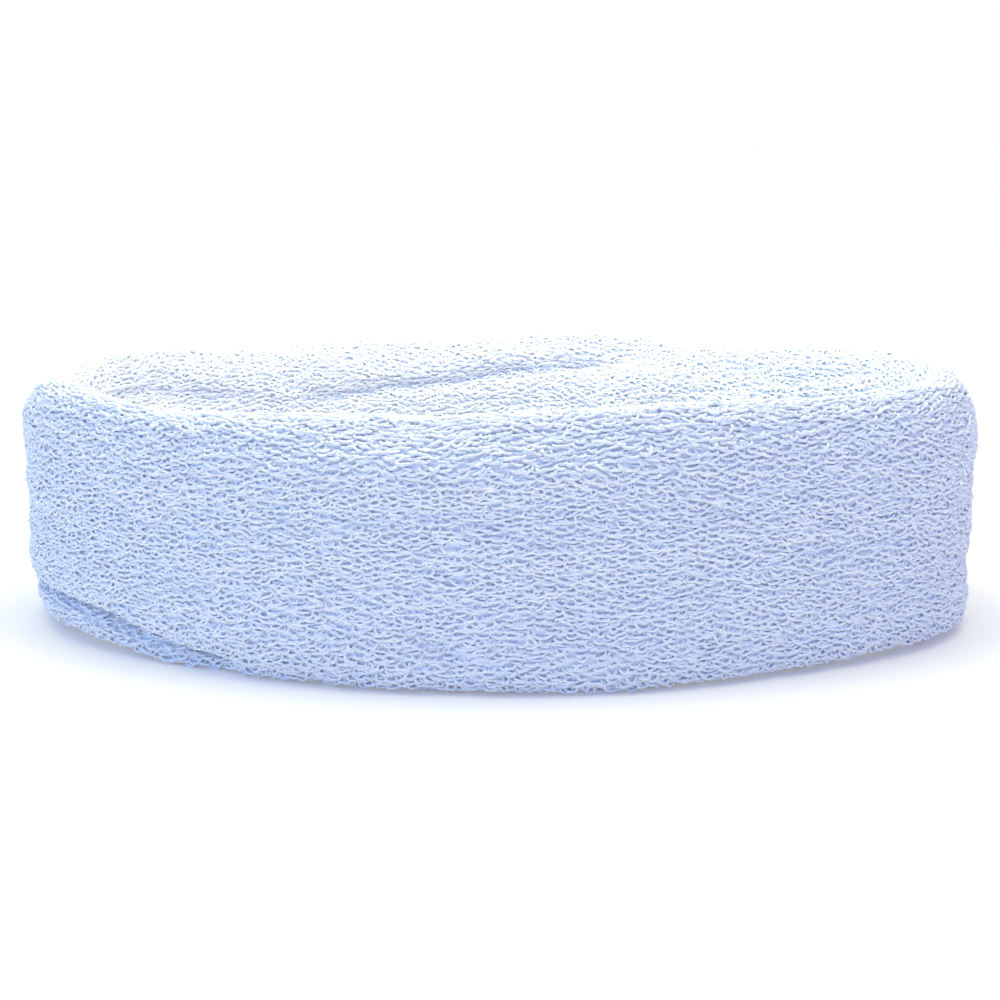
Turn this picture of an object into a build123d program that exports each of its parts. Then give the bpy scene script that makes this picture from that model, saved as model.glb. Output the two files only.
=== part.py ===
"""Terry sports headband: a knitted terry tube folded double into an elastic oval loop.

Units are millimetres, +Z is up and the band stands on its lower fold. The origin is the middle of
the loop on that surface, +X runs along the loop's longer side and +Y towards its back.

The fabric is one knitted tube, folded so that both rims are folds and its two cut ends meet on the
face against the head, where an overlock seam closes it. From outside in, the wall is terry pile,
ground knit and the elastic threads laid in behind the ground knit.
"""

import math
import os

from build123d import *

# The loop and its section
LOOP_WIDTH = 190.0  # outside, along X
LOOP_DEPTH = 120.0  # outside, along Y
BAND_HEIGHT = 50.0
BAND_THICKNESS = 14.0  # both layers of fabric and the hollow between them
END_RADIUS = 42.0  # of the loop's outside at its two tight ends

# The fabric
PILE = 2.5  # depth of the terry loops
GROUND = 1.0  # the knit that the loops are rooted in
FOLD_RADIUS = 6.0  # of the outside of each folded rim
ELASTIC_DIAMETER = 0.8
ELASTIC_COUNT = 12  # threads in each face
ELASTIC_PITCH = 3.3
CLEARANCE = 0.05  # between a thread and the knit beside it

# The closing seam on the inner face
SEAM_HEIGHT = 21.5  # of the line where the tube's two cut ends meet
SEAM_GAP = 0.2  # between the two cut ends
SEAM_ALLOWANCE = 1.6  # that the cut ends stand proud of the pile
WRAP = 0.4  # depth of the overlock threads round the cut ends
WRAP_REACH = 1.0  # of the cut ends that the overlock threads cover
NEEDLE_THREAD = 0.4
TACK_LENGTH = 12.0  # where the overlock's end is sewn over its start

# The loop's middle line is four arcs, each tangent to the next
MID_X = (LOOP_WIDTH - BAND_THICKNESS) / 2
MID_Y = (LOOP_DEPTH - BAND_THICKNESS) / 2
END_ARC = END_RADIUS - BAND_THICKNESS / 2
END_CENTRE = MID_X - END_ARC
SIDE_ARC = (END_CENTRE**2 + MID_Y**2 - END_ARC**2) / (2 * (MID_Y - END_ARC))
SIDE_CENTRE = SIDE_ARC - MID_Y
TURN = math.degrees(math.atan2(SIDE_CENTRE, END_CENTRE))  # half of an end arc's turn

# Each arc as its centre, radius, first angle and turn
ARCS = (
    ((END_CENTRE, 0), END_ARC, -TURN, 2 * TURN),
    ((0, -SIDE_CENTRE), SIDE_ARC, TURN, 180 - 2 * TURN),
    ((-END_CENTRE, 0), END_ARC, 180 - TURN, 2 * TURN),
    ((0, SIDE_CENTRE), SIDE_ARC, 180 + TURN, 180 - 2 * TURN),
)
BACK_ARC = ARCS[1]

# In a section, x is measured from the middle line
FACE = BAND_THICKNESS / 2
ENDS_REACH = FACE + SEAM_ALLOWANCE


def on_arc(section, arc, first=None, turn=None):
    """Turns a section about one arc's centre. Its x is outward from the middle line, its y is up."""
    (x, y), radius, arc_first, arc_turn = arc
    first = arc_first if first is None else first
    turn = arc_turn if turn is None else turn
    c, s = math.cos(math.radians(first)), math.sin(math.radians(first))
    plane = Plane(origin=(x + radius * c, y + radius * s, 0), x_dir=(c, s, 0), z_dir=(s, -c, 0))
    return revolve(plane * section, Axis((x, y, 0), (0, 0, 1)), revolution_arc=turn)


def round_the_loop(section):
    """One closed ring with this section, all the way round the loop."""
    sectors = [on_arc(section, arc) for arc in ARCS]
    return sectors[0].fuse(*sectors[1:])


def block(x_low, x_high, y_low, y_high):
    """A rectangle of a section, from its limits."""
    middle = ((x_low + x_high) / 2, (y_low + y_high) / 2)
    return Pos(*middle) * Rectangle(x_high - x_low, y_high - y_low)


def folded_band(depth):
    """The section of everything that lies this deep or deeper under the band's outside."""
    outline = RectangleRounded(
        BAND_THICKNESS - 2 * depth, BAND_HEIGHT - 2 * depth, FOLD_RADIUS - depth
    )
    return Pos(0, BAND_HEIGHT / 2) * outline


def cut_ends(reach, depth):
    """The section of the two cut ends as they leave the seam, out to reach, with depth of each."""
    x_root = -(FACE - PILE)
    half = SEAM_GAP / 2 + depth
    return block(-reach, x_root, SEAM_HEIGHT - half, SEAM_HEIGHT + half)


def seam_slit():
    """The gap between the tube's two cut ends, from the hollow to beyond the seam."""
    half = SEAM_GAP / 2
    return block(-BAND_THICKNESS, 0, SEAM_HEIGHT - half, SEAM_HEIGHT + half)


def terry_pile():
    """The layer of terry loops, from one side of the seam round the band to the other."""
    return round_the_loop(folded_band(0) - folded_band(PILE) - cut_ends(ENDS_REACH, GROUND))


def ground_knit():
    """The knit under the pile, with its two cut ends turned out at the seam."""
    wall = folded_band(PILE) + cut_ends(ENDS_REACH, GROUND) - folded_band(PILE + GROUND)
    return round_the_loop(wall - seam_slit())


def elastic_thread(side, row):
    """One turn of covered elastic behind the ground knit. side is 1 on the outer face, -1 inside."""
    x = FACE - PILE - GROUND - CLEARANCE - ELASTIC_DIAMETER / 2
    z = BAND_HEIGHT / 2 + (row - (ELASTIC_COUNT - 1) / 2) * ELASTIC_PITCH
    return round_the_loop(Pos(side * x, z) * Circle(ELASTIC_DIAMETER / 2))


def wrap_section(depth):
    """The section of overlock threads this deep round the cut ends' last stretch."""
    half = SEAM_GAP / 2 + GROUND + depth
    x_inner, x_outer = -ENDS_REACH - depth, -ENDS_REACH + WRAP_REACH
    return block(x_inner, x_outer, SEAM_HEIGHT - half, SEAM_HEIGHT + half)


def overlock_looper_threads():
    """The looper threads that wrap the cut ends, as one sleeve."""
    return round_the_loop(wrap_section(WRAP) - cut_ends(ENDS_REACH, GROUND))


def overlock_needle_threads():
    """The two straight lines of thread that hold the cut ends together, above and below them."""
    x = -(FACE + (SEAM_ALLOWANCE - WRAP_REACH) / 2)
    away = SEAM_GAP / 2 + GROUND + CLEARANCE + NEEDLE_THREAD / 2
    rings = [
        round_the_loop(Pos(x, SEAM_HEIGHT + side * away) * Circle(NEEDLE_THREAD / 2))
        for side in (1, -1)
    ]
    return Compound(children=rings)


def seam_end_tack():
    """A second layer of overlock, where the seam ends over its own start at the back."""
    _, radius, _, _ = BACK_ARC
    turn = math.degrees(TACK_LENGTH / (radius - ENDS_REACH))
    return on_arc(wrap_section(2 * WRAP) - wrap_section(WRAP), BACK_ARC, 90 - turn / 2, turn)


def parts():
    """Every sub-part by its node's name."""
    made = {
        "terry_pile": terry_pile(),
        "ground_knit": ground_knit(),
        "overlock_looper_threads": overlock_looper_threads(),
        "overlock_needle_threads": overlock_needle_threads(),
        "seam_end_tack": seam_end_tack(),
    }
    for face, side in (("outer", 1), ("inner", -1)):
        for row in range(ELASTIC_COUNT):
            made[f"elastic_thread_{face}_{row + 1:02d}"] = elastic_thread(side, row)
    return made


os.makedirs("parts", exist_ok=True)
for name, shape in parts().items():
    export_step(shape, f"parts/{name}.step")
    print(f"{name}: {shape.volume:.1f} mm3")
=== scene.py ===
"""The looks of a terry sports headband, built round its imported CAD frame.

Everything is in metres, in the frame's axes: +X along the loop's longer side and +Y to its back.

The band's skin is described by two coordinates. u runs once round the loop, anticlockwise seen from
above, and v runs once round the fabric's section: from the seam on the inner face up that face, over
the top fold, down the outer face and back to the seam under the lower fold. That is also the
direction the tube was knitted in, so every terry loop leans the way v grows.
"""

import math

import bpy
import numpy as np
from mathutils import Matrix, Vector


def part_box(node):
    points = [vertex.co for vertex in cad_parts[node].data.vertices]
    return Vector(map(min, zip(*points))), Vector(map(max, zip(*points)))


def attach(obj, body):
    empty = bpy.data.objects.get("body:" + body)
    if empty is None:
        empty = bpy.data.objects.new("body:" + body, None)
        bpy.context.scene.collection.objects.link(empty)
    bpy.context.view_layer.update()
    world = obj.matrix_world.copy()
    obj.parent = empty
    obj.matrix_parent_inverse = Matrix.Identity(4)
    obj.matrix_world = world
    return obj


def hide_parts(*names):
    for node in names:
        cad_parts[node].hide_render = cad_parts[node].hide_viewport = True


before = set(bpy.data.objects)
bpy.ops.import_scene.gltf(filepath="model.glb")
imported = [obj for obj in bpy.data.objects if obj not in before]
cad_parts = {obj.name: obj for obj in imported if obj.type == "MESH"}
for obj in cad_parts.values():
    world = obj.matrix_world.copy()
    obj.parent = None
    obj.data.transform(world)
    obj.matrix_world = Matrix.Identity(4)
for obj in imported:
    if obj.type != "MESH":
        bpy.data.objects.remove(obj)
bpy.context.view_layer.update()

MM = 0.001

# The band, from the frame and the two sizes of its loop that a box doesn't give
LOW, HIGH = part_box("terry_pile")
HEIGHT = HIGH.z - LOW.z
THICKNESS = 14 * MM
END_RADIUS = 42 * MM  # of the loop's outside at its two tight ends

# The section: its top fold is half an ellipse and its lower half a superellipse
TOP_ROUND = 13 * MM  # how far down the faces the top fold's rounding reaches
LOWER_EXPONENT = 3.8
PILE = 2.0 * MM  # from the ground knit to the tips of the terry loops
SEAM_HEIGHT = 21.5 * MM  # of the closing seam on the inner face

# The knit: a wale is a column of loops and a course is a row of them
WALES = 276
COURSES = 92
YARN_RADIUS = 0.32 * MM
GROUND_DEPTH = 0.05 * MM  # of the ground knit's surface under the skin halfway up the pile
YARN_SIDES = 4
PILE_PIECES = 12
SEAM_CLEARANCE = 1.9 * MM  # from the seam's middle to the nearest loops

# The closing seam: its two cut ends turned out as a ridge, measured outward from the skin
RIDGE_ROOT = -1.2 * MM
RIDGE_TIP = 2.6 * MM
RIDGE_HALF = 1.0 * MM  # half the thickness of the two cut ends together
RIDGE_STEPS = (1200, 28)  # of its grid, along u and round its section
RIDGE_SQUEEZE = 0.10  # of its thickness, by each stitch
SIDE_POWER, TIP_POWER = 0.5, 0.35  # how square its section is: 1 is round
SLIT_HALF, SLIT_DEPTH = 0.2 * MM, 0.35 * MM  # the slit between the two cut ends
FRAY = 0.06 * MM
NEEDLE_LINE = 1.3 * MM  # where the needle threads run along the ridge
NEEDLE_DIP = 0.4 * MM  # how deep they go into the fabric at each stitch
THREAD_RADIUS = 0.14 * MM
THREAD_SIDES = 8
STITCH = 2.4 * MM
STITCH_POINTS = 12
TACK_LENGTH = 12 * MM
TACK_STITCH = 1.5 * MM
LOOPER_TURN = 0.53 * math.pi  # how far a looper thread turns round the ridge's edge
LOOPER_SLANT = 0.12  # of a stitch, by which it is out of line on each side

GOLDEN = 1.618  # spreads a phase over many pieces of yarn without repeating
SEED = 7

# A loop's form. It runs from one root over its crown to the other root.
LEG_TURN = 0.62  # how far its legs curve in towards the roots, of half a turn
REACH_POWER = 1.7  # how squarely it hangs along v
RISE_POWER = 2.8  # how squarely it stands out of the ground
CROWN_DIP = 0.12  # of its height, lost at the crown
LEAN = 0.22  # radians that it leans to a side, as a standard deviation
TILT = 0.15  # radians that it is tilted out of the skin, likewise
STRAY = 0.05 * MM  # how far each of its points strays, likewise

# The two kinds of loops. width is in wales, length in courses and high in mm outward of the skin,
# each as a mean, a standard deviation and its two limits. shift is in wales and courses.
TERRY_LOOPS = {
    "shift": 0.0,
    "points": 8,
    "width": (1.20, 0.22, 0.7, 1.9),
    "length": (0.60, 0.28, 0.0, 1.5),
    "high": (0.55, 0.07, 0.35, 0.75),
}
UNDER_LOOPS = {
    "shift": 0.5,
    "points": 5,
    "width": (1.25, 0.25, 0.7, 1.9),
    "length": (0.45, 0.30, -math.inf, math.inf),
    "high": (0.28, 0.08, 0.05, 0.5),
}
PLACE_JITTER = (0.10, 0.15)  # of a loop's root, in wales and courses
STAGGER = 0.25  # of neighbouring wales, in courses

# The fabric's rolls along its two folds: height, spread and how far they stand out, in mm
ROLLS = ((39.5, 5.0, 1.45), (4.0, 5.0, 1.30))
ROLL_AT_ENDS = 0.12  # of a roll's size that is left at the loop's two ends
ROLL_WANDER = 0.7 * MM  # how far a roll's line wanders up and down
ROLL_UNEVENNESS = 0.3  # of its size

# Where a fold rises above its even height: azimuth, spread in u and height in mm
TOP_FOLD_RISES = ((235, 0.09, -1.7), (300, 0.07, 0.4), (60, 0.12, 0.8), (185, 0.05, -0.6))
LOWER_FOLD_RISES = ((201, 0.045, 2.4), (337, 0.04, 1.0))

OUTER, INNER = True, False

# Pressed-in creases: both ends as azimuth, height in mm and face, then width and depth in mm
CREASES = (
    ((184, 9.0, OUTER), (207, 7.0, OUTER), 1.8, 2.6),
    ((206, 7.0, OUTER), (229, 2.5, OUTER), 1.8, 2.6),
    ((222, 4.0, OUTER), (246, 3.0, OUTER), 1.8, 0.9),
    ((318, 24, OUTER), (344, 22, OUTER), 1.5, 0.4),
    ((324, 15, OUTER), (350, 13, OUTER), 1.5, 0.45),
    ((203, 29, OUTER), (224, 27.5, OUTER), 1.5, 0.4),
    ((261, 12, OUTER), (269, 7, OUTER), 1.6, 0.9),
    ((309, 31.5, OUTER), (320, 30, OUTER), 1.4, 0.5),
    ((138, 36.5, INNER), (66, 44.5, INNER), 2.2, 2.2),
    ((172, 42, INNER), (150, 38, INNER), 3.0, 1.6),
    ((46, 38, INNER), (14, 46, INNER), 2.2, 0.9),
)
CREASE_FADE = 0.12  # of a crease's length, that its fading takes on either side of each end

# Soft swellings: azimuth, height in mm and face, then the size along u and v and the height in mm
BULGES = (
    ((57, 40, INNER), (14, 6), 1.5),
    ((110, 45, INNER), (30, 4), 0.8),
    ((205, 13, OUTER), (34, 5), 1.2),
    ((240, 10, OUTER), (30, 5), 0.5),
    ((179, 2.5, OUTER), (9, 4.0), 2.2),
    ((208, 1.5, OUTER), (22, 3.5), 0.5),
    ((350, 3, OUTER), (18, 4.5), 1.3),
    ((290, 2.5, OUTER), (34, 4.5), 1.0),
)

# The camera
CAMERA_DISTANCE = 333.5 * MM
CAMERA_ELEVATION = 0.2068  # radians
CAMERA_AZIMUTH = 0.0972  # radians, to the right of straight in front
CAMERA_ROLL = 0.0139  # radians
CAMERA_LENS = 58.35  # mm
CAMERA_SHIFT = (0.0061, -0.0156)

FLOOR_REACH = 30.0  # of its edges from the loop

# The room's light as suns: direction, strength, angle in degrees and colour
SUNS = {
    "ceiling": ((0.0, 0.12, 1.0), 2.05, 70, (1.0, 0.93, 0.50)),
    "left_wall": ((-1.0, -0.2, 0.35), 1.25, 60, (0.25, 0.50, 1.0)),
    "right_wall": ((1.0, -0.2, 0.35), 0.45, 60, (0.25, 0.20, 1.0)),
    "front_wall": ((0.0, -1.0, 0.3), 0.8, 80, (0.15, 0.38, 1.0)),
    "back_wall": ((0.0, 1.0, 0.3), 0.7, 80, (0.30, 0.50, 1.0)),
}


# ---------------------------------------------------------------- small helpers


def unit(vectors):
    """The same vectors, each one unit long."""
    return vectors / np.maximum(np.linalg.norm(vectors, axis=-1, keepdims=True), 1e-12)


def smoothstep(x):
    """0 below 0, 1 above 1 and a smooth rise between them."""
    x = np.clip(x, 0, 1)
    return x * x * (3 - 2 * x)


def wrapped(x):
    """The same distance round a closed way of length 1, from -0.5 to 0.5."""
    return (x + 0.5) % 1 - 0.5


def ripple(u, v, rng, waves_u, waves_v, terms=24):
    """Smooth noise over the band, about 1 high, with up to these many waves each way round."""
    total = np.zeros(np.broadcast(u, v).shape)
    for _ in range(terms):
        ku = rng.integers(-waves_u, waves_u + 1)
        kv = rng.integers(0, waves_v + 1)
        total += np.cos(2 * np.pi * (ku * u + kv * v + rng.random()))
    return total / math.sqrt(terms / 2)


# ---------------------------------------------------------------- the band's skin


def loop_arcs():
    """The four tangent arcs of the loop's middle line: centre, radius, first angle and turn."""
    mid_x = (HIGH.x - LOW.x - THICKNESS) / 2
    mid_y = (HIGH.y - LOW.y - THICKNESS) / 2
    end = END_RADIUS - THICKNESS / 2
    end_centre = mid_x - end
    side = (end_centre**2 + mid_y**2 - end**2) / (2 * (mid_y - end))
    side_centre = side - mid_y
    turn = math.atan2(side_centre, end_centre)
    return (
        ((end_centre, 0), end, -turn, 2 * turn),
        ((0, -side_centre), side, turn, math.pi - 2 * turn),
        ((-end_centre, 0), end, math.pi - turn, 2 * turn),
        ((0, side_centre), side, math.pi + turn, math.pi - 2 * turn),
    )


ARCS = loop_arcs()
ROUND = sum(radius * turn for _, radius, _, turn in ARCS)  # length of the middle line


def middle_line(u):
    """Points of the loop's middle line and its outward directions there, in plan."""
    distance = (np.asarray(u) % 1) * ROUND
    points = np.zeros(distance.shape + (2,))
    outward = np.zeros_like(points)
    start = 0.0
    for centre, radius, first, turn in ARCS:
        on = (distance >= start) & (distance <= start + radius * turn)
        angle = first + (distance[on] - start) / radius
        outward[on] = np.stack([np.cos(angle), np.sin(angle)], -1)
        points[on] = np.array(centre) + radius * outward[on]
        start += radius * turn
    return points, outward


def section(v, depth):
    """The fabric's section at this depth under its outside: outward from the middle line, and up."""
    half_thickness = THICKNESS / 2 - depth
    half_height = HEIGHT / 2 - depth
    top_start = HEIGHT / 2 - TOP_ROUND
    angle = np.linspace(math.pi, -math.pi, 4001)
    c, s = np.cos(angle), np.sin(angle)
    on_top = s > 1e-9
    power = np.where(on_top, 1, 2 / LOWER_EXPONENT)
    x = half_thickness * np.sign(c) * np.abs(c) ** power
    z = np.where(
        on_top, top_start + (half_height - top_start) * s, -half_height * np.abs(s) ** power
    )
    travelled = np.concatenate([[0], np.cumsum(np.hypot(np.diff(x), np.diff(z)))])
    seam = SEAM_HEIGHT - HEIGHT / 2
    distance = (np.asarray(v) * travelled[-1] + seam) % travelled[-1]
    return np.interp(distance, travelled, x), np.interp(distance, travelled, z), travelled[-1]


AROUND = section(0, PILE / 2)[2]  # length round the section, halfway up the pile


def smooth_skin(count_u, count_v, depth):
    """The band's even skin at this depth, as a grid of points."""
    u = np.arange(count_u) / count_u
    v = np.arange(count_v) / count_v
    points, outward = middle_line(u)
    x, z, _ = section(v, depth)
    grid = np.zeros((count_u, count_v, 3))
    grid[..., :2] = points[:, None] + outward[:, None] * x[None, :, None]
    grid[..., 2] = HEIGHT / 2 + z[None]
    return grid


def sample(grid, u, v):
    """The grid's smooth surface at any u and v, by cubic steps between its points."""
    count_u, count_v = grid.shape[:2]
    fu, fv = np.broadcast_arrays(np.asarray(u) * count_u, np.asarray(v) * count_v)
    iu, iv = np.floor(fu).astype(int), np.floor(fv).astype(int)

    def weights(t):
        return (
            (-t + 2 * t**2 - t**3) / 2,
            (2 - 5 * t**2 + 3 * t**3) / 2,
            (t + 4 * t**2 - 3 * t**3) / 2,
            (-(t**2) + t**3) / 2,
        )

    wu, wv = weights(fu - iu), weights(fv - iv)
    total = 0.0
    for a in range(4):
        for b in range(4):
            corner = grid[(iu + a - 1) % count_u, (iv + b - 1) % count_v]
            total = total + (wu[a] * wv[b])[..., None] * corner
    return total


def frames(grid, u, v):
    """Points of the skin, the directions along u, along v and outward there, and u's scale."""
    du, dv = 0.2 / grid.shape[0], 0.2 / grid.shape[1]
    along_u = (sample(grid, u + du, v) - sample(grid, u - du, v)) / (2 * du)
    along_v = (sample(grid, u, v + dv) - sample(grid, u, v - dv)) / (2 * dv)
    scale = np.linalg.norm(along_u, axis=-1)
    outward = unit(np.cross(along_v, along_u))
    tangent = unit(along_u)
    return sample(grid, u, v), tangent, unit(np.cross(tangent, outward)), outward, scale


def grid_faces(count_u, count_v):
    """The four-cornered faces of a grid that closes both ways, seen from outside."""
    i, j = np.meshgrid(np.arange(count_u), np.arange(count_v), indexing="ij")
    i2, j2 = (i + 1) % count_u, (j + 1) % count_v
    corners = (i * count_v + j, i * count_v + j2, i2 * count_v + j2, i2 * count_v + j)
    return np.stack(corners, -1).reshape(-1, 4)


def mesh_object(name, points, faces, smooth=True):
    """A mesh of four-cornered faces, linked to the scene."""
    mesh = bpy.data.meshes.new(name)
    points, faces = points.reshape(-1, 3), faces.reshape(-1, 4)
    mesh.vertices.add(len(points))
    mesh.vertices.foreach_set("co", points.astype(np.float32).ravel())
    mesh.loops.add(faces.size)
    mesh.loops.foreach_set("vertex_index", faces.astype(np.int32).ravel())
    mesh.polygons.add(len(faces))
    mesh.polygons.foreach_set("loop_start", np.arange(len(faces), dtype=np.int32) * 4)
    mesh.polygons.foreach_set("use_smooth", np.full(len(faces), smooth))
    mesh.update(calc_edges=True)
    piece = bpy.data.objects.new(name, mesh)
    bpy.context.scene.collection.objects.link(piece)
    return piece


def grid_of(piece, shape):
    """A grid mesh's points, as they are now."""
    points = np.zeros(shape[0] * shape[1] * 3, np.float32)
    evaluated = piece.evaluated_get(bpy.context.evaluated_depsgraph_get())
    evaluated.data.vertices.foreach_get("co", points)
    return points.reshape(shape[0], shape[1], 3).astype(float)


# ---------------------------------------------------------------- the padded body's shape

PUFF_STEPS = (112, 34)  # of the cloth's grid, u by v
PUFF_CAP = 1.6 * MM  # the furthest that the cloth may move a point
PUFF_ROOM = 0.5 * MM  # how far inside its place the cloth starts, because it swells
PUFF_RIPPLE = 0.25 * MM
PUFF_FRAMES = 20


def puffed():
    """The skin as the fabric settles it: a slack double layer that swells a little and wrinkles."""
    start = smooth_skin(*PUFF_STEPS, PILE / 2)
    rng = np.random.default_rng(SEED)
    u = (np.arange(PUFF_STEPS[0]) / PUFF_STEPS[0])[:, None]
    v = (np.arange(PUFF_STEPS[1]) / PUFF_STEPS[1])[None]
    _, _, _, outward, _ = frames(start, u, v)
    uneven = ripple(u, v, rng, 9, 5) * PUFF_RIPPLE
    start = start + outward * (uneven - PUFF_ROOM)[..., None]
    cloth_body = mesh_object("puffing_cloth", start, grid_faces(*PUFF_STEPS))
    cloth = cloth_body.modifiers.new("puff", "CLOTH")
    settings = cloth.settings
    settings.quality = 6
    settings.mass = 0.2
    settings.tension_stiffness = 12
    settings.compression_stiffness = 12
    settings.shear_stiffness = 4
    settings.bending_stiffness = 0.4
    settings.shrink_min = -0.03
    settings.use_pressure = True
    settings.uniform_pressure_force = 4
    settings.effector_weights.gravity = 0
    scene = bpy.context.scene
    for step in range(1, PUFF_FRAMES + 1):
        scene.frame_set(step)
    swollen = grid_of(cloth_body, PUFF_STEPS)
    scene.frame_set(1)
    bpy.data.objects.remove(cloth_body)
    moved = swollen - start
    reach = np.linalg.norm(moved, axis=-1, keepdims=True)
    return start + moved * np.minimum(1, PUFF_CAP / np.maximum(reach, 1e-9))


AZIMUTHS = np.linspace(0, 1, 2001)


def u_at(azimuth):
    """The u of this azimuth, in degrees: 0 is the loop's right end and 90 its back."""
    points, _ = middle_line(AZIMUTHS)
    angle = np.unwrap(np.arctan2(points[:, 1], points[:, 0]))
    return float(np.interp(math.radians(azimuth), angle, AZIMUTHS, period=2 * math.pi)) % 1


def v_at(height, outer):
    """The v of this height on the outer or the inner face."""
    v = np.linspace(0, 1, 2001)
    x, z, _ = section(v, PILE / 2)
    on_face = (x > 0) == outer
    return float(v[on_face][np.argmin(np.abs(z[on_face] + HEIGHT / 2 - height))])


def crease(u, v, start, end, width, depth):
    """A groove between two places that fades at its ends."""
    su, sv = u_at(start[0]), v_at(start[1] * MM, start[2])
    eu, ev = u_at(end[0]), v_at(end[1] * MM, end[2])
    along = np.array([wrapped(eu - su) * ROUND, wrapped(ev - sv) * AROUND])
    du, dv = wrapped(u - su) * ROUND, wrapped(v - sv) * AROUND
    length = np.hypot(*along)
    t = (du * along[0] + dv * along[1]) / length**2
    off = (dv * along[0] - du * along[1]) / length
    into = smoothstep((t + CREASE_FADE) / (2 * CREASE_FADE))
    out_of = smoothstep((1 + CREASE_FADE - t) / (2 * CREASE_FADE))
    fade = into * out_of
    return -depth * MM * fade * np.exp(-((off / (width * MM)) ** 2))


def bulge(u, v, place, size, height):
    """A soft swelling at a place, with its size along u and v."""
    du = wrapped(u - u_at(place[0])) * ROUND / (size[0] * MM)
    dv = wrapped(v - v_at(place[1] * MM, place[2])) * AROUND / (size[1] * MM)
    return height * MM * np.exp(-(du**2 + dv**2))


def folds_and_bulges(u, v):
    """How far the fabric stands out of its even skin, from the creases it was pressed into."""
    out = np.zeros(np.broadcast(u, v).shape)
    for start, end, width, depth in CREASES:
        out += crease(u, v, start, end, width, depth)
    for place, size, height in BULGES:
        out += bulge(u, v, place, size, height)
    return out


def rolled_edges(u, v, rng):
    """How far the outer face stands out where the fabric rolls over into its two folds."""
    out = np.zeros(np.broadcast(u, v).shape)
    long_side = np.cos(2 * np.pi * (u - u_at(90))) ** 2
    share = ROLL_AT_ENDS + (1 - ROLL_AT_ENDS) * long_side
    for height, spread, amount in ROLLS:
        wander = ripple(u, 0 * v, rng, 6, 0, 8) * ROLL_WANDER
        line = v_at(height * MM, OUTER) + wander / AROUND
        off = wrapped(v - line) * AROUND / (spread * MM)
        uneven = 1 + ROLL_UNEVENNESS * ripple(u, 0 * v, rng, 7, 0, 8)
        out = out + amount * MM * share * uneven * np.exp(-(off**2))
    return out


def fold_rise(u, rises):
    """How far a fold rises above its even height round the loop."""
    rise = 0.0
    for azimuth, spread, height in rises:
        rise = rise + height * MM * np.exp(-((wrapped(u - u_at(azimuth)) / spread) ** 2))
    return rise


SKIN_STEPS = (448, 136)  # of the finished skin's grid, u by v
SOFT_WRINKLES = 0.22 * MM
FINE_WRINKLES = 0.10 * MM
FLATTENED = 0.15  # of what would reach below the floor that is left after it rests there


def finished_skin():
    """The skin halfway up the pile, with its wrinkles, creases and uneven top fold."""
    rng = np.random.default_rng(SEED + 1)
    u = (np.arange(SKIN_STEPS[0]) / SKIN_STEPS[0])[:, None]
    v = (np.arange(SKIN_STEPS[1]) / SKIN_STEPS[1])[None]
    points, _, _, outward, _ = frames(puffed(), u, v)
    height = folds_and_bulges(u, v) + rolled_edges(u, v, np.random.default_rng(SEED + 3))
    height = height + ripple(u, v, rng, 7, 9) * SOFT_WRINKLES
    height = height + ripple(u, v, rng, 40, 24, 60) * FINE_WRINKLES
    points = points + outward * height[..., None]
    share_up = np.clip(points[..., 2] / HEIGHT, 0, 1)
    points[..., 2] += fold_rise(u, TOP_FOLD_RISES) * share_up**3
    points[..., 2] += fold_rise(u, LOWER_FOLD_RISES) * (1 - share_up) ** 3
    under = np.minimum(points[..., 2] - PILE / 2, 0)
    points[..., 2] -= (1 - FLATTENED) * under
    return points


# ---------------------------------------------------------------- yarn


def tube_rings(paths, radius, sides):
    """Points and faces of open tubes along many paths, and each face corner's place on its yarn.

    paths is an array of paths by points by 3. A corner's place is the turn round the yarn, and how
    many yarn diameters along it.
    """
    count, points = paths.shape[:2]
    tangents = unit(np.gradient(paths, axis=1))
    across = np.zeros_like(paths)
    first = np.cross(tangents[:, 0], np.array([0.31, 0.52, 0.79]))
    across[:, 0] = unit(first)
    for k in range(1, points):
        carried = across[:, k - 1]
        carried = carried - np.sum(carried * tangents[:, k], -1, keepdims=True) * tangents[:, k]
        across[:, k] = unit(carried)
    other = np.cross(tangents, across)
    angle = 2 * np.pi * np.arange(sides) / sides
    ring = across[:, :, None] * np.cos(angle)[None, None, :, None]
    ring = ring + other[:, :, None] * np.sin(angle)[None, None, :, None]
    path, k, side = np.meshgrid(
        np.arange(count), np.arange(points - 1), np.arange(sides), indexing="ij"
    )
    base = (path * points + k) * sides
    after = (side + 1) % sides
    corners = (base + side, base + after, base + sides + after, base + sides + side)
    steps = np.linalg.norm(np.diff(paths, axis=1), axis=-1)
    run = np.concatenate([np.zeros((count, 1)), np.cumsum(steps, 1)], 1) / (2 * radius)
    run = run + np.arange(count)[:, None] * GOLDEN
    around = np.stack([side, side + 1, side + 1, side], -1) / sides
    along = np.stack([run[path, k], run[path, k], run[path, k + 1], run[path, k + 1]], -1)
    vertices = (paths[:, :, None] + ring * radius).reshape(-1, 3)
    faces, places = np.stack(corners, -1), np.stack([around, along], -1)
    return vertices, faces.reshape(-1, 4), places.reshape(-1, 2)


def yarn_object(name, batches, radius, sides):
    """One mesh of all these batches of yarn paths, with its twist's coordinates as a UV map."""
    vertices, faces, places, start = [], [], [], 0
    for paths in batches:
        points, corners, uv = tube_rings(paths, radius, sides)
        vertices.append(points)
        faces.append(corners + start)
        places.append(uv)
        start += len(points)
    piece = mesh_object(name, np.concatenate(vertices), np.concatenate(faces))
    layer = piece.data.uv_layers.new(name="yarn")
    layer.data.foreach_set("uv", np.concatenate(places).astype(np.float32).ravel())
    return piece


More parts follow.
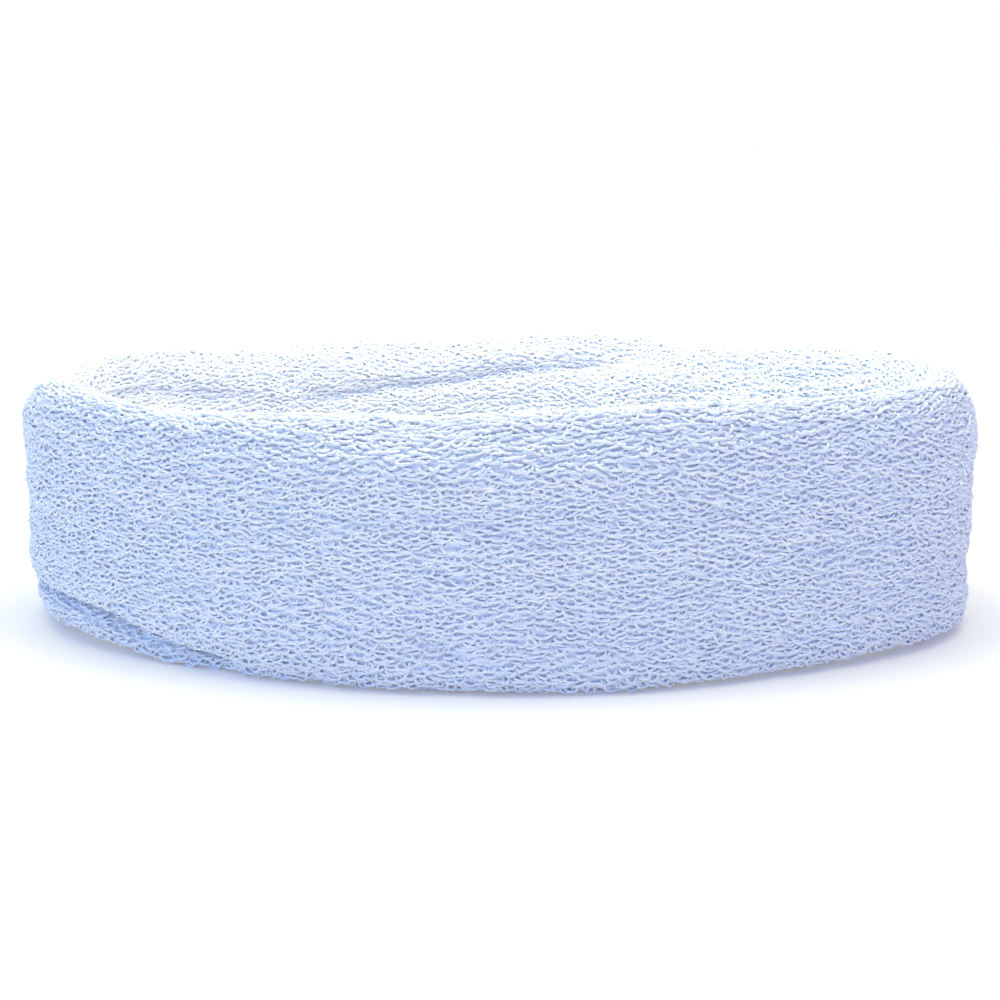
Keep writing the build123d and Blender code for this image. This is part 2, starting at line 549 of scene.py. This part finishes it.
def hung_yarn(skin, u, v, width, length, high, points, rng):
    """Paths of yarn that leave the ground at one side of a place, hang out over it and go back in.

    width, length and high are the loops' sizes along u, along v and outward of the skin.
    """
    count = len(u)
    low = -GROUND_DEPTH - YARN_RADIUS
    place, along_u, along_v, outward, _ = frames(skin, u, v)
    t = np.linspace(-1, 1, points)[None]
    a = width[:, None] / 2 * np.sin(LEG_TURN * math.pi * t)
    b = length[:, None] * (1 - np.abs(t) ** REACH_POWER)
    dipped = 1 - CROWN_DIP * (1 - t**2) ** 3
    c = low + (high[:, None] - low) * (1 - np.abs(t) ** RISE_POWER) * dipped
    lean = rng.normal(0, LEAN, count)[:, None]
    a, b = a * np.cos(lean) - b * np.sin(lean), a * np.sin(lean) + b * np.cos(lean)
    c = c + a * rng.normal(0, TILT, count)[:, None]
    paths = (
        place[:, None]
        + a[..., None] * along_u[:, None]
        + b[..., None] * along_v[:, None]
        + c[..., None] * outward[:, None]
        + rng.normal(0, STRAY, (count, points, 3))
    )
    paths[..., 2] = np.maximum(paths[..., 2], YARN_RADIUS)
    return paths


def knit_places(first_wale, wales, rng, shift):
    """The u and v of every stitch of some wales, a little out of line, clear of the seam."""
    numbers = np.arange(first_wale, first_wale + wales)
    wale, course = (x.ravel() for x in np.meshgrid(numbers, np.arange(COURSES), indexing="ij"))
    count = len(wale)
    stagger = np.where(wale % 2 == 0, STAGGER, -STAGGER)
    u = (wale + 0.5 + shift + rng.normal(0, PLACE_JITTER[0], count)) / WALES
    v = (course + 0.5 + shift + stagger + rng.normal(0, PLACE_JITTER[1], count)) / COURSES
    clear = np.abs(wrapped(v)) * AROUND > SEAM_CLEARANCE
    return u[clear], v[clear]


def drawn(rng, count, mean, deviation, least, most):
    """This many random sizes about a mean, within their limits."""
    return rng.normal(mean, deviation, count).clip(least, most)


def hanging_loops(skin, first_wale, wales, rng, kind):
    """One kind of loops over some wales: each is a hanging U of yarn, rooted in the ground."""
    u, v = knit_places(first_wale, wales, rng, kind["shift"])
    count = len(u)
    wale_width = frames(skin, u, v)[4] / WALES
    width = wale_width * drawn(rng, count, *kind["width"])
    length = AROUND / COURSES * drawn(rng, count, *kind["length"])
    high = MM * drawn(rng, count, *kind["high"])
    return hung_yarn(skin, u, v, width, length, high, kind["points"], rng)


# ---------------------------------------------------------------- materials


def new_material(name):
    """A node material with its shader."""
    material = bpy.data.materials.new(name)
    material.use_nodes = True
    shader = next(n for n in material.node_tree.nodes if n.type == "BSDF_PRINCIPLED")
    return material, material.node_tree, shader


def node(tree, kind, **values):
    """A node of a tree, with some of its settings or inputs set by name."""
    made = tree.nodes.new(kind)
    for key, value in values.items():
        if hasattr(made, key):
            setattr(made, key, value)
        else:
            made.inputs[key.replace("_", " ").title()].default_value = value
    return made


def ramp(tree, factor, dark, light, dark_at=0.0, light_at=1.0):
    """A colour that goes from dark to light with a factor."""
    made = node(tree, "ShaderNodeValToRGB")
    first, last = made.color_ramp.elements
    first.position, last.position = dark_at, light_at
    first.color, last.color = dark + (1,), light + (1,)
    tree.links.new(factor, made.inputs["Fac"])
    return made.outputs["Color"]


def bump(tree, height, strength, distance):
    """A normal that follows a height."""
    made = node(tree, "ShaderNodeBump", Strength=strength, Distance=distance)
    tree.links.new(height, made.inputs["Height"])
    return made.outputs["Normal"]


def noise(tree, scale, detail):
    """Noise in the piece's own coordinates."""
    place = node(tree, "ShaderNodeTexCoord")
    made = node(tree, "ShaderNodeTexNoise", Scale=scale, Detail=detail)
    tree.links.new(place.outputs["Object"], made.inputs["Vector"])
    return made.outputs["Fac"]


def twist_height(tree, plies, lay):
    """How proud a twisted yarn's plies stand, from its own UV map.

    plies is their number round the yarn, and lay is how far they turn with its length.
    """
    link = tree.links.new
    place = node(tree, "ShaderNodeUVMap")
    place.uv_map = "yarn"
    split = node(tree, "ShaderNodeSeparateXYZ")
    link(place.outputs["UV"], split.inputs[0])
    turn = node(tree, "ShaderNodeMath", operation="MULTIPLY_ADD")
    link(split.outputs["Y"], turn.inputs[0])
    turn.inputs[1].default_value = lay
    link(split.outputs["X"], turn.inputs[2])
    wave = node(tree, "ShaderNodeMath", operation="MULTIPLY")
    link(turn.outputs[0], wave.inputs[0])
    wave.inputs[1].default_value = math.pi * plies
    ply = node(tree, "ShaderNodeMath", operation="SINE")
    link(wave.outputs[0], ply.inputs[0])
    proud = node(tree, "ShaderNodeMath", operation="ABSOLUTE")
    link(ply.outputs[0], proud.inputs[0])
    return proud.outputs[0]


def terry_yarn_material():
    """Soft white cotton yarn, twisted, with a little variation from loop to loop."""
    material, tree, shader = new_material("terry_yarn")
    link = tree.links.new
    colour = ramp(tree, noise(tree, 420.0, 2.0), (0.86, 0.89, 0.95), (0.92, 0.94, 0.98), 0.3, 0.7)
    link(colour, shader.inputs["Base Color"])
    link(bump(tree, twist_height(tree, 2, 0.4), 0.6, 0.0001), shader.inputs["Normal"])
    shader.inputs["Roughness"].default_value = 0.9
    shader.inputs["Sheen Weight"].default_value = 0.4
    shader.inputs["Specular IOR Level"].default_value = 0.2
    return material


def ground_material():
    """The knit behind the loops, with its own fine roughness; its tone is a little darker than the
    loops', as painted shade for the pockets between them.
    """
    material, tree, shader = new_material("ground_knit_yarn")
    link = tree.links.new
    stitches = noise(tree, 900.0, 3.0)
    # A little darker than the loops' yarn: painted shade for the pockets between the loops, over the
    # knit's own random tone.
    colour = ramp(tree, stitches, (0.82, 0.86, 0.93), (0.89, 0.92, 0.97))
    link(colour, shader.inputs["Base Color"])
    link(bump(tree, stitches, 0.6, 0.0004), shader.inputs["Normal"])
    shader.inputs["Roughness"].default_value = 0.95
    shader.inputs["Specular IOR Level"].default_value = 0.2
    return material


def sewing_thread_material():
    """Three-ply polyester thread, smoother than the cotton, with painted shade in the grooves
    between its plies.
    """
    material, tree, shader = new_material("sewing_thread")
    link = tree.links.new
    plies = twist_height(tree, 3, 0.35)
    # Darker where the plies dip into the grooves between them: painted shade.
    colour = ramp(tree, plies, (0.70, 0.76, 0.86), (0.90, 0.93, 0.97), light_at=0.5)
    link(colour, shader.inputs["Base Color"])
    link(bump(tree, plies, 0.7, 0.0001), shader.inputs["Normal"])
    shader.inputs["Roughness"].default_value = 0.55
    shader.inputs["Sheen Weight"].default_value = 0.1
    return material


def covered_elastic_material():
    """Rubber thread wound with fine white yarn, close and even, with painted shade in the grooves
    between its windings.
    """
    material, tree, shader = new_material("covered_elastic")
    link = tree.links.new
    place = node(tree, "ShaderNodeTexCoord")
    winding = node(tree, "ShaderNodeTexWave", Scale=900.0, Distortion=1.5)
    winding.bands_direction = "DIAGONAL"
    link(place.outputs["Object"], winding.inputs["Vector"])
    # Darker in the low part of each winding band: painted shade in the grooves between the windings.
    colour = ramp(tree, winding.outputs["Fac"], (0.55, 0.60, 0.68), (0.84, 0.88, 0.94))
    link(colour, shader.inputs["Base Color"])
    link(bump(tree, winding.outputs["Fac"], 0.5, 0.0001), shader.inputs["Normal"])
    shader.inputs["Roughness"].default_value = 0.8
    return material


# ---------------------------------------------------------------- the pieces


def make_ground(skin):
    """The padded body under the pile."""
    u = (np.arange(SKIN_STEPS[0]) / SKIN_STEPS[0])[:, None]
    v = (np.arange(SKIN_STEPS[1]) / SKIN_STEPS[1])[None]
    points, _, _, outward, _ = frames(skin, u, v)
    piece = mesh_object("padded_ground", points - outward * GROUND_DEPTH, grid_faces(*SKIN_STEPS))
    piece.data.materials.append(ground_material())
    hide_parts("ground_knit")
    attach(piece, "root")


def make_pile(skin):
    """The terry pile, in equal lengths round the loop."""
    material = terry_yarn_material()
    wales = WALES // PILE_PIECES
    for number in range(PILE_PIECES):
        rng = np.random.default_rng([SEED, number])
        batches = [
            hanging_loops(skin, number * wales, wales, rng, kind)
            for kind in (TERRY_LOOPS, UNDER_LOOPS)
        ]
        piece = yarn_object(f"terry_loops_{number + 1:02d}", batches, YARN_RADIUS, YARN_SIDES)
        piece.data.materials.append(material)
        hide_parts("terry_pile")
        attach(piece, "root")


# ---------------------------------------------------------------- the closing seam


def by_seam(skin, u, up, out):
    """Points this far up from the seam's line and this far out of the skin, at each u."""
    place, _, along_v, outward, _ = frames(skin, u, np.zeros_like(u))
    return place + up[..., None] * along_v + out[..., None] * outward


def make_cut_ends(skin):
    """The fabric's two cut ends, turned out side by side and squeezed by the stitches."""
    rng = np.random.default_rng(SEED + 2)
    u = (np.arange(RIDGE_STEPS[0]) / RIDGE_STEPS[0])[:, None]
    turn = 2 * np.pi * (np.arange(RIDGE_STEPS[1]) / RIDGE_STEPS[1])[None]
    c, s = np.cos(turn), np.sin(turn)
    stitches = round(ROUND / STITCH)
    squeeze = 1 - RIDGE_SQUEEZE * np.cos(2 * np.pi * stitches * u) ** 2
    half_out = (RIDGE_TIP - RIDGE_ROOT) / 2
    up = RIDGE_HALF * squeeze * np.sign(c) * np.abs(c) ** SIDE_POWER
    out = (RIDGE_TIP + RIDGE_ROOT) / 2 + half_out * np.sign(s) * np.abs(s) ** TIP_POWER
    between_layers = np.exp(-((up / SLIT_HALF) ** 2)) * (s > 0)
    out = out - SLIT_DEPTH * between_layers
    frayed = ripple(u, turn / (2 * np.pi), rng, 260, 3, 60) * FRAY
    u, up, out = np.broadcast_arrays(u, up + frayed * c, out + frayed * s)
    piece = mesh_object("seam_cut_ends", by_seam(skin, u, up, out), grid_faces(*RIDGE_STEPS))
    # The ground's material, whose darker tone is painted shade meant for the pockets between the
    # loops.
    piece.data.materials.append(ground_material())
    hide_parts("ground_knit")
    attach(piece, "root")


def looper_thread(skin, side, first, last, stitch, lift):
    """A looper thread's path on one side of the ridge, from the needle line to the edge and back.

    first and last are its ends as u, and lift is how far it lies over the threads under it.
    """
    stitches = round((last - first) * ROUND / stitch)
    t = np.linspace(0, stitches, stitches * STITCH_POINTS + 1)
    angle = LOOPER_TURN * (0.5 - 0.5 * np.cos(2 * np.pi * t))
    c, s = np.cos(angle), np.sin(angle)
    away = THREAD_RADIUS + lift
    up = side * (RIDGE_HALF + away) * np.sign(c) * np.abs(c) ** SIDE_POWER
    out = NEEDLE_LINE + (RIDGE_TIP + away - NEEDLE_LINE) * np.abs(s) ** SIDE_POWER
    slanted = t + LOOPER_SLANT * side * np.sin(2 * np.pi * t)
    u = first + (last - first) * slanted / stitches
    return by_seam(skin, u, up, out)[None]


def needle_thread(skin, side):
    """A needle thread's path along the ridge: it goes in and out of the fabric once a stitch."""
    stitches = round(ROUND / STITCH)
    t = np.linspace(0, stitches, stitches * STITCH_POINTS + 1)
    dip = NEEDLE_DIP * np.cos(np.pi * t) ** 16
    up = side * (RIDGE_HALF + 2.6 * THREAD_RADIUS - dip)
    return by_seam(skin, t / stitches, up, np.full_like(t, NEEDLE_LINE))[None]


def make_seam_threads(skin):
    """The overlock round the cut ends, and the tack where its end is sewn over its start."""
    material = sewing_thread_material()
    back, half_tack = u_at(90), TACK_LENGTH / ROUND / 2
    sides = (1, -1)
    loopers = [looper_thread(skin, side, 0, 1, STITCH, 0) for side in sides]
    needles = [needle_thread(skin, side) for side in sides]
    tacks = [
        looper_thread(skin, side, back - half_tack, back + half_tack, TACK_STITCH, lift)
        for side in sides
        for lift in (2 * THREAD_RADIUS, 3 * THREAD_RADIUS)
    ]
    for name, node_name, paths in (
        ("seam_looper_threads", "overlock_looper_threads", loopers),
        ("seam_needle_threads", "overlock_needle_threads", needles),
        ("seam_tack", "seam_end_tack", tacks),
    ):
        piece = yarn_object(name, paths, THREAD_RADIUS, THREAD_SIDES)
        piece.data.materials.append(material)
        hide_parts(node_name)
        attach(piece, "root")


def dress_elastic():
    """Gives the elastic threads, which stay as the frame has them, their covering."""
    material = covered_elastic_material()
    for name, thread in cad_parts.items():
        if name.startswith("elastic_thread"):
            for place in thread.material_slots:
                place.material = material


# ---------------------------------------------------------------- the studio


def make_camera():
    """The photograph's viewpoint: in front, a little above and a little to the right."""
    level = math.cos(CAMERA_ELEVATION)
    back = Vector(
        (
            math.sin(CAMERA_AZIMUTH) * level,
            -math.cos(CAMERA_AZIMUTH) * level,
            math.sin(CAMERA_ELEVATION),
        )
    )
    data = bpy.data.cameras.new("camera")
    data.sensor_width = 36
    data.lens = CAMERA_LENS
    data.clip_start, data.clip_end = 0.01, 100
    data.shift_x, data.shift_y = CAMERA_SHIFT
    camera = bpy.data.objects.new("camera", data)
    camera.location = Vector((0, 0, HEIGHT / 2)) + back * CAMERA_DISTANCE
    look = (-back).to_track_quat("-Z", "Y").to_matrix()
    camera.rotation_euler = (look @ Matrix.Rotation(-CAMERA_ROLL, 3, "Z")).to_euler()
    bpy.context.scene.collection.objects.link(camera)
    bpy.context.scene.camera = camera


def make_floor():
    """A wide, plain, pale floor, lit a little from below like a photographer's light table."""
    corners = FLOOR_REACH * np.array([[-1.0, -1, 0], [1, -1, 0], [1, 1, 0], [-1, 1, 0]])
    piece = mesh_object("floor", corners, np.array([[0, 1, 2, 3]]))
    material, _, shader = new_material("floor")
    shader.inputs["Base Color"].default_value = (0.90, 0.88, 0.85, 1)
    shader.inputs["Emission Color"].default_value = (1.0, 0.96, 0.93, 1)
    shader.inputs["Emission Strength"].default_value = 0.14
    shader.inputs["Roughness"].default_value = 1.0
    shader.inputs["Specular IOR Level"].default_value = 0.0
    piece.data.materials.append(material)


def add_sun(name, direction, strength, angle, colour):
    """A broad distant lamp that shines from this direction."""
    data = bpy.data.lights.new(name, "SUN")
    data.energy = strength
    data.angle = math.radians(angle)
    data.color = colour
    lamp = bpy.data.objects.new(name, data)
    lamp.rotation_euler = Vector(direction).to_track_quat("Z", "Y").to_euler()
    bpy.context.scene.collection.objects.link(lamp)


def add_soft_box(name, height, size, power, colour):
    """A round soft box that hangs over the middle of the loop and shines straight down."""
    data = bpy.data.lights.new(name, "AREA")
    data.shape = "DISK"
    data.size = size
    data.energy = power
    data.color = colour
    lamp = bpy.data.objects.new(name, data)
    lamp.location = (0, 0, height)
    lamp.visible_camera = False
    bpy.context.scene.collection.objects.link(lamp)


def make_lights():
    """Two small soft boxes over the loop, and soft blue light from the room's ceiling and walls."""
    add_soft_box("over_the_loop", height=0.22, size=0.14, power=0.25, colour=(1.0, 1.0, 0.7))
    add_soft_box("near_the_loop", height=0.10, size=0.08, power=0.035, colour=(1.0, 1.0, 1.0))
    for name, (direction, strength, angle, colour) in SUNS.items():
        add_sun(name, direction, strength, angle, colour)
    world = bpy.data.worlds.new("studio")
    bpy.context.scene.world = world
    world.use_nodes = True
    tree = world.node_tree
    tree.nodes.clear()
    output = node(tree, "ShaderNodeOutputWorld")
    mix = node(tree, "ShaderNodeMixShader")
    path = node(tree, "ShaderNodeLightPath")
    room = node(tree, "ShaderNodeBackground", Color=(0.48, 0.60, 1.0, 1), Strength=0.47)
    backdrop = node(tree, "ShaderNodeBackground", Color=(1, 1, 1, 1), Strength=1.0)
    tree.links.new(path.outputs["Is Camera Ray"], mix.inputs[0])
    tree.links.new(room.outputs[0], mix.inputs[1])
    tree.links.new(backdrop.outputs[0], mix.inputs[2])
    tree.links.new(mix.outputs[0], output.inputs[0])
    bpy.context.scene.view_settings.view_transform = "Standard"


make_camera()
SKIN = finished_skin()
make_ground(SKIN)
make_pile(SKIN)
make_cut_ends(SKIN)
make_seam_threads(SKIN)
dress_elastic()
make_floor()
make_lights()
